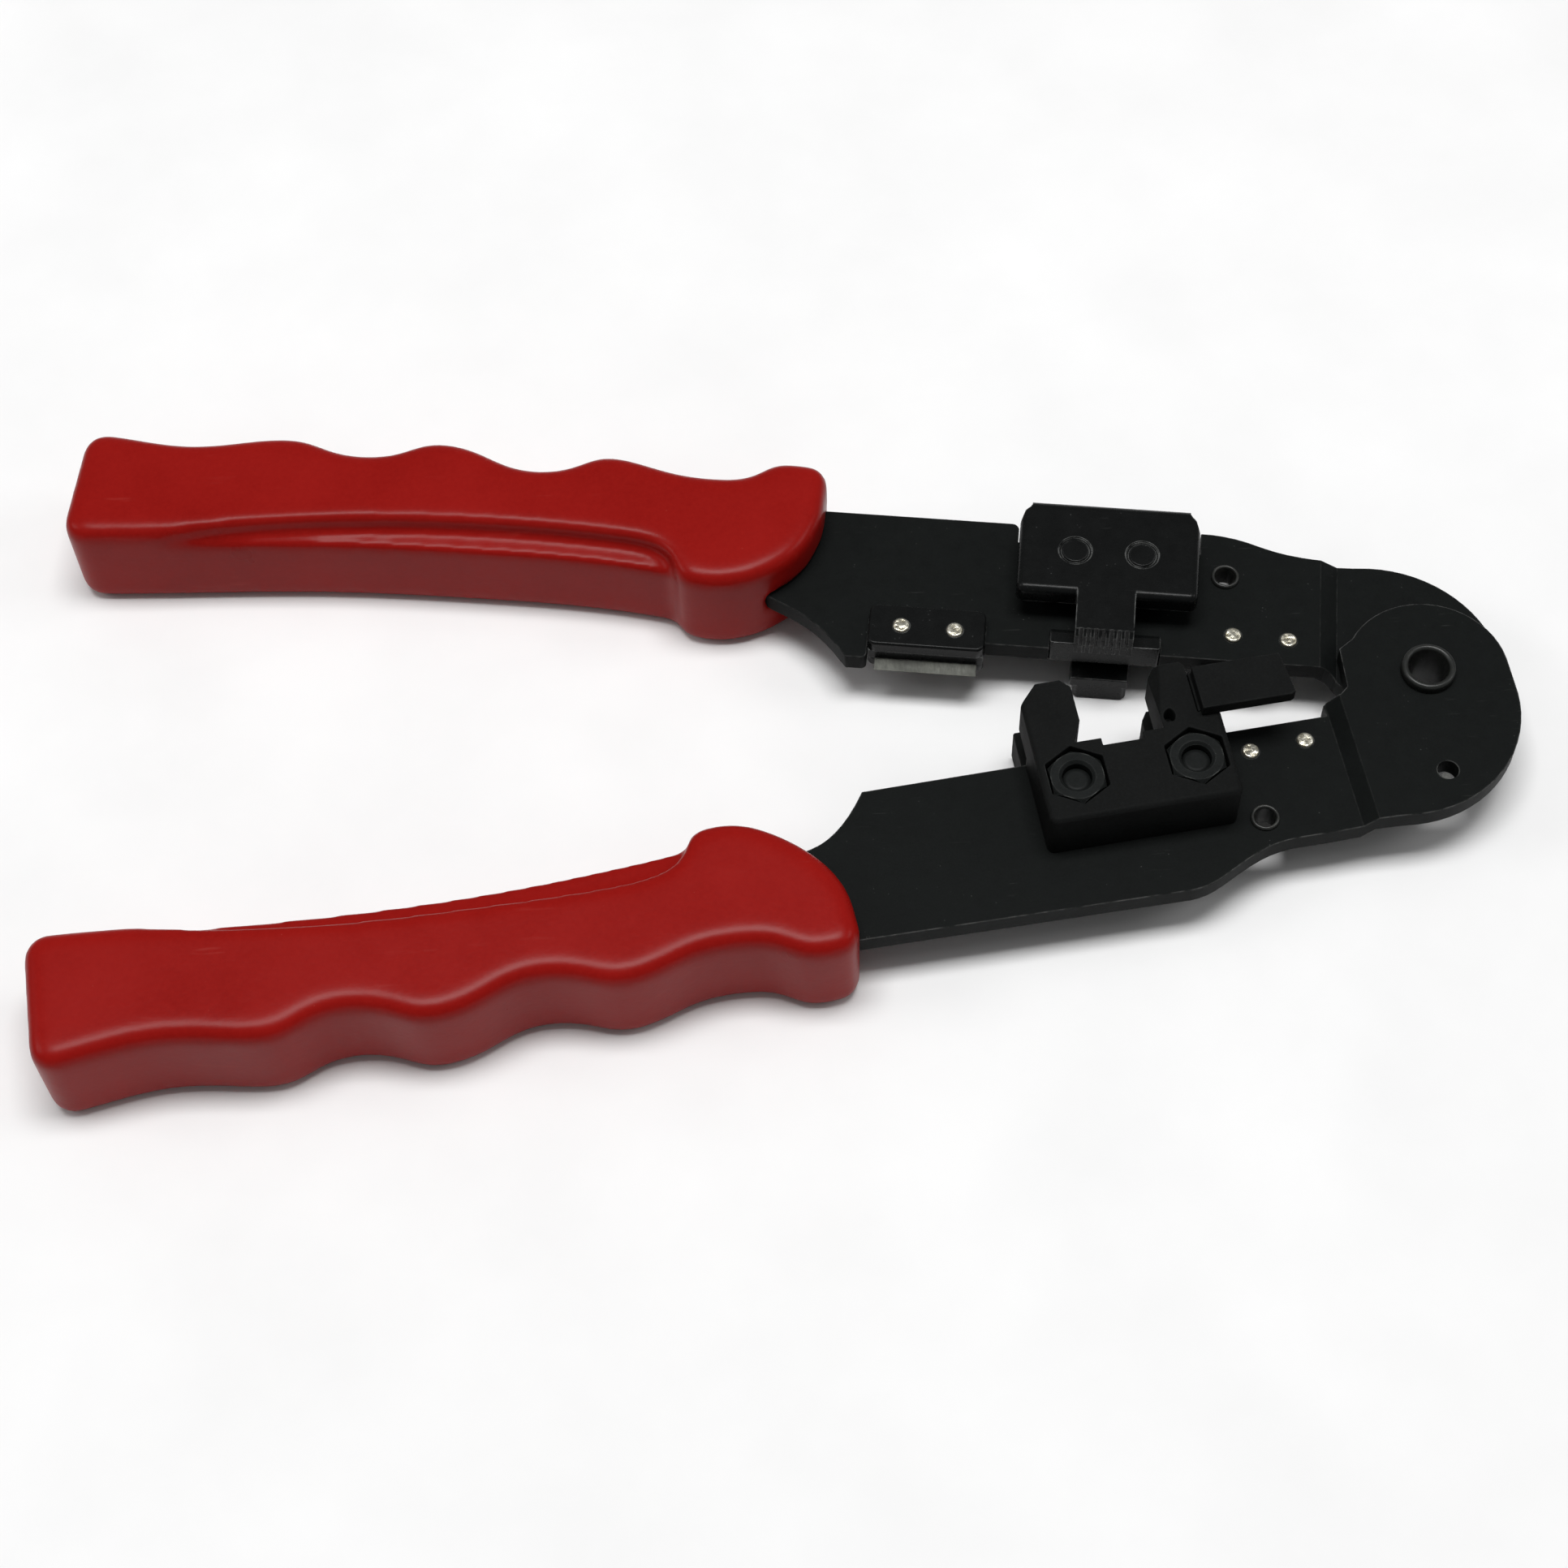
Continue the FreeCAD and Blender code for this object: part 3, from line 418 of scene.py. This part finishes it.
def make_grip(node, body):
    """Moulded grip: one even skin laid on the CAD surface, with its edges melted round."""
    work = bpy.data.objects.new(node + "_work", nodes[node].data.copy())
    bpy.context.scene.collection.objects.link(work)
    weld = work.modifiers.new("weld", "WELD")
    weld.merge_threshold = WELD_GAP
    skin = work.modifiers.new("skin", "REMESH")
    skin.mode = "VOXEL"
    skin.voxel_size = SKIN_VOXEL * MM
    wrap = work.modifiers.new("wrap", "SHRINKWRAP")
    wrap.target = nodes[node]
    wrap.wrap_method = "NEAREST_SURFACEPOINT"
    melt = work.modifiers.new("melt", "SMOOTH")
    melt.factor = 0.5
    melt.iterations = MELT_STEPS
    add_piece(node + "_moulded", baked(work, node + "_moulded"), node, body)


def crown(bore, outer, top, height):
    """Half-round rim, as (radius, height) points from the bore over the top to the outside."""
    middle = (bore + outer) / 2
    half = (outer - bore) / 2
    angles = [math.pi * (1 - k / CROWN_STEPS) for k in range(CROWN_STEPS + 1)]
    return [(middle + half * math.cos(a), top - height + height * math.sin(a)) for a in angles]


def rolled_tube(bore, neck, rim, seats, ends, height):
    """Closed profile of a hollow rivet: rolled rims beyond its two seats, low and high."""
    low_rim = [(r, -z) for r, z in reversed(crown(bore, rim, -ends[0], height))]
    high_rim = crown(bore, rim, ends[1], height)
    return high_rim + [(rim, seats[1]), (neck, seats[1]), (neck, seats[0]), (rim, seats[0])] + low_rim


def lathe(name, profile, centre, segments):
    """Ring turned from a closed profile in millimetres about an upright axis."""
    mesh = bpy.data.meshes.new(name)
    bm = bmesh.new()
    rings = []
    for k in range(segments):
        a = 2 * math.pi * k / segments
        rings.append([bm.verts.new(((centre[0] + r * math.cos(a)) * MM,
                                    (centre[1] + r * math.sin(a)) * MM, z * MM)) for r, z in profile])
    for k, ring in enumerate(rings):
        beside = rings[(k + 1) % segments]
        for i in range(len(profile)):
            j = (i + 1) % len(profile)
            bm.faces.new((ring[i], beside[i], beside[j], ring[j]))
    bmesh.ops.recalc_face_normals(bm, faces=bm.faces)
    bm.to_mesh(mesh)
    bm.free()
    return mesh


def make_hollow_rivets():
    """The pivot rivet and the two eyelets, with their rims rolled over."""
    profile = rolled_tube(bore=2.7, neck=3.3, rim=3.65, seats=(-3.75, 2.85), ends=(-4.85, 4.3), height=0.5)
    mesh = lathe("pivot_rivet_rolled", profile, (0, 0), 96)
    add_piece("pivot_rivet_rolled", mesh, "pivot_rivet", "lower_arm")
    profile = rolled_tube(bore=1.4, neck=1.55, rim=1.95, seats=(-1.4, 1.4), ends=(-1.95, 1.95), height=0.4)
    for node, body, place, angle in (("eyelet_upper", "upper_arm", (-27.3, 14.1), -REST_HALF),
                                     ("eyelet_lower", "lower_arm", (-26.9, -17.4), REST_HALF)):
        mesh = lathe(node + "_rolled", profile, turned(place, angle), 64)
        add_piece(node + "_rolled", mesh, node, body)


def spring_line():
    """Centre line of the return spring in millimetres, from the upper lever's hook to the lower one's.

    The second value returned is the lower hook's place.
    """
    hooks = (turned(HOOKS[0], -REST_HALF), turned(HOOKS[1], REST_HALF))
    exits = []
    for hook, side in zip(hooks, (1, -1)):
        exits.append(math.atan2(hook[1], hook[0]) + side * math.acos(COIL_R / math.hypot(*hook)))
    sweep = (exits[1] - exits[0]) % (2 * math.pi) + WHOLE_TURNS * 2 * math.pi
    slope = (COIL_Z[0] - COIL_Z[1]) / (sweep * COIL_R)
    legs = []
    for hook, angle, height, side, tip in zip(hooks, exits, COIL_Z, (1, -1), HOOK_TIPS):
        run = math.sqrt(math.hypot(*hook) ** 2 - COIL_R ** 2)
        start = Vector((COIL_R * math.cos(angle), COIL_R * math.sin(angle), height))
        corner = Vector((*hook, height + side * slope * run))
        bend_start = corner + (start - corner).normalized() * LEG_BEND
        bend_end = corner + Vector((0, 0, LEG_BEND))
        bend = []
        for k in range(BEND_STEPS + 1):
            t = k / BEND_STEPS
            bend.append((1 - t) ** 2 * bend_start + 2 * t * (1 - t) * corner + t ** 2 * bend_end)
        legs.append([start] + bend + [Vector((*hook, tip))])
    coil = []
    for k in range(1, COIL_STEPS):
        angle = exits[0] + sweep * k / COIL_STEPS
        height = COIL_Z[0] + (COIL_Z[1] - COIL_Z[0]) * k / COIL_STEPS
        coil.append(Vector((COIL_R * math.cos(angle), COIL_R * math.sin(angle), height)))
    return legs[0][::-1] + coil + legs[1], hooks[1]


def make_spring():
    """Round wire spring from the upper lever's hook to the lower one's, in one piece that follows neither
    lever.
    """
    points, far_hook = spring_line()
    curve = bpy.data.curves.new("spring_line", "CURVE")
    curve.dimensions = "3D"
    curve.bevel_depth = WIRE_R * MM
    curve.bevel_resolution = 4
    curve.use_fill_caps = True
    spline = curve.splines.new("POLY")
    spline.points.add(len(points) - 1)
    for knot, point in zip(spline.points, points):
        knot.co = (*(point * MM), 1.0)
    work = bpy.data.objects.new("spring_work", curve)
    bpy.context.scene.collection.objects.link(work)
    spring = add_piece("return_spring_wire", baked(work, "return_spring_wire"), "return_spring")
    away = Vector(far_hook).normalized()
    # A twist down the coil would lean out towards the lower hook, because the far leg's upright end
    # is as high as the near leg; this direction is worked out but nothing uses it.
    along = Vector((TWIST_LEAN * away.x, TWIST_LEAN * away.y, -1.0))
    along /= along.length_squared
    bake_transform(spring)


# ---------------------------------------------------------------- studio

FLOOR_HALF = 1.6
LIT_POINT = (-0.09, 0.0, 0.0)       # the middle of the tool, which every light faces
SIDE_LIGHT = (0.4, 0.4)
SIDE_WATTS = 1.6
ROOM_GLOW = 0.20
CAMERA_PLACE = (-0.08795, -0.22131, 0.34544)
CAMERA_RIGHT = (0.99903, -0.03870, -0.02115)
CAMERA_UP = (0.04406, 0.85385, 0.51864)


def make_floor():
    """One wide board at the height of the tool's lowest point."""
    low = cad_bounds[0][2]
    mesh = bpy.data.meshes.new("studio_floor")
    half = FLOOR_HALF
    corners = [(-half, -half, low), (half, -half, low), (half, half, low), (-half, half, low)]
    mesh.from_pydata(corners, [], [(0, 1, 2, 3)])
    floor = bpy.data.objects.new("studio_floor", mesh)
    bpy.context.scene.collection.objects.link(floor)
    dress(floor, floor_material())


def area_light(name, place, size, power):
    data = bpy.data.lights.new(name, "AREA")
    data.shape = "RECTANGLE"
    data.size, data.size_y = size
    data.energy = power
    light = bpy.data.objects.new(name, data)
    light.location = place
    light.rotation_euler = (Vector(LIT_POINT) - Vector(place)).to_track_quat("-Z", "Y").to_euler()
    bpy.context.scene.collection.objects.link(light)


def make_lights():
    """A softbox overhead and a little behind, a weak fill from each side, and a dim pale room."""
    area_light("key", (-0.09, 0.06, 1.20), size=(0.8, 0.34), power=13.5)
    area_light("left", (-1.0, 0.05, 0.7), SIDE_LIGHT, SIDE_WATTS)
    area_light("right", (0.85, 0.05, 0.7), SIDE_LIGHT, SIDE_WATTS)
    world = bpy.data.worlds.new("studio")
    world.use_nodes = True
    world.node_tree.nodes["Background"].inputs["Color"].default_value = (1.0, 1.0, 1.0, 1.0)
    world.node_tree.nodes["Background"].inputs["Strength"].default_value = ROOM_GLOW
    bpy.context.scene.world = world
    bpy.context.scene.view_settings.view_transform = "Standard"


def make_camera():
    """Oblique view from the grip side, 404 mm away and about 31 degrees off the vertical."""
    data = bpy.data.cameras.new("camera")
    data.sensor_width = 36.0
    data.lens = 69.65
    data.clip_start = 0.01
    camera = bpy.data.objects.new("camera", data)
    right = Vector(CAMERA_RIGHT)
    up = Vector(CAMERA_UP)
    back = right.cross(up)
    turn = Matrix((right, up, back)).transposed()
    camera.matrix_world = Matrix.Translation(CAMERA_PLACE) @ turn.to_4x4()
    bpy.context.scene.collection.objects.link(camera)
    bpy.context.scene.camera = camera


make_camera()
make_floor()
make_lights()
dress_cad_nodes()
make_grip("upper_grip", "upper_arm")
make_grip("lower_grip", "lower_arm")
make_hollow_rivets()
make_spring()
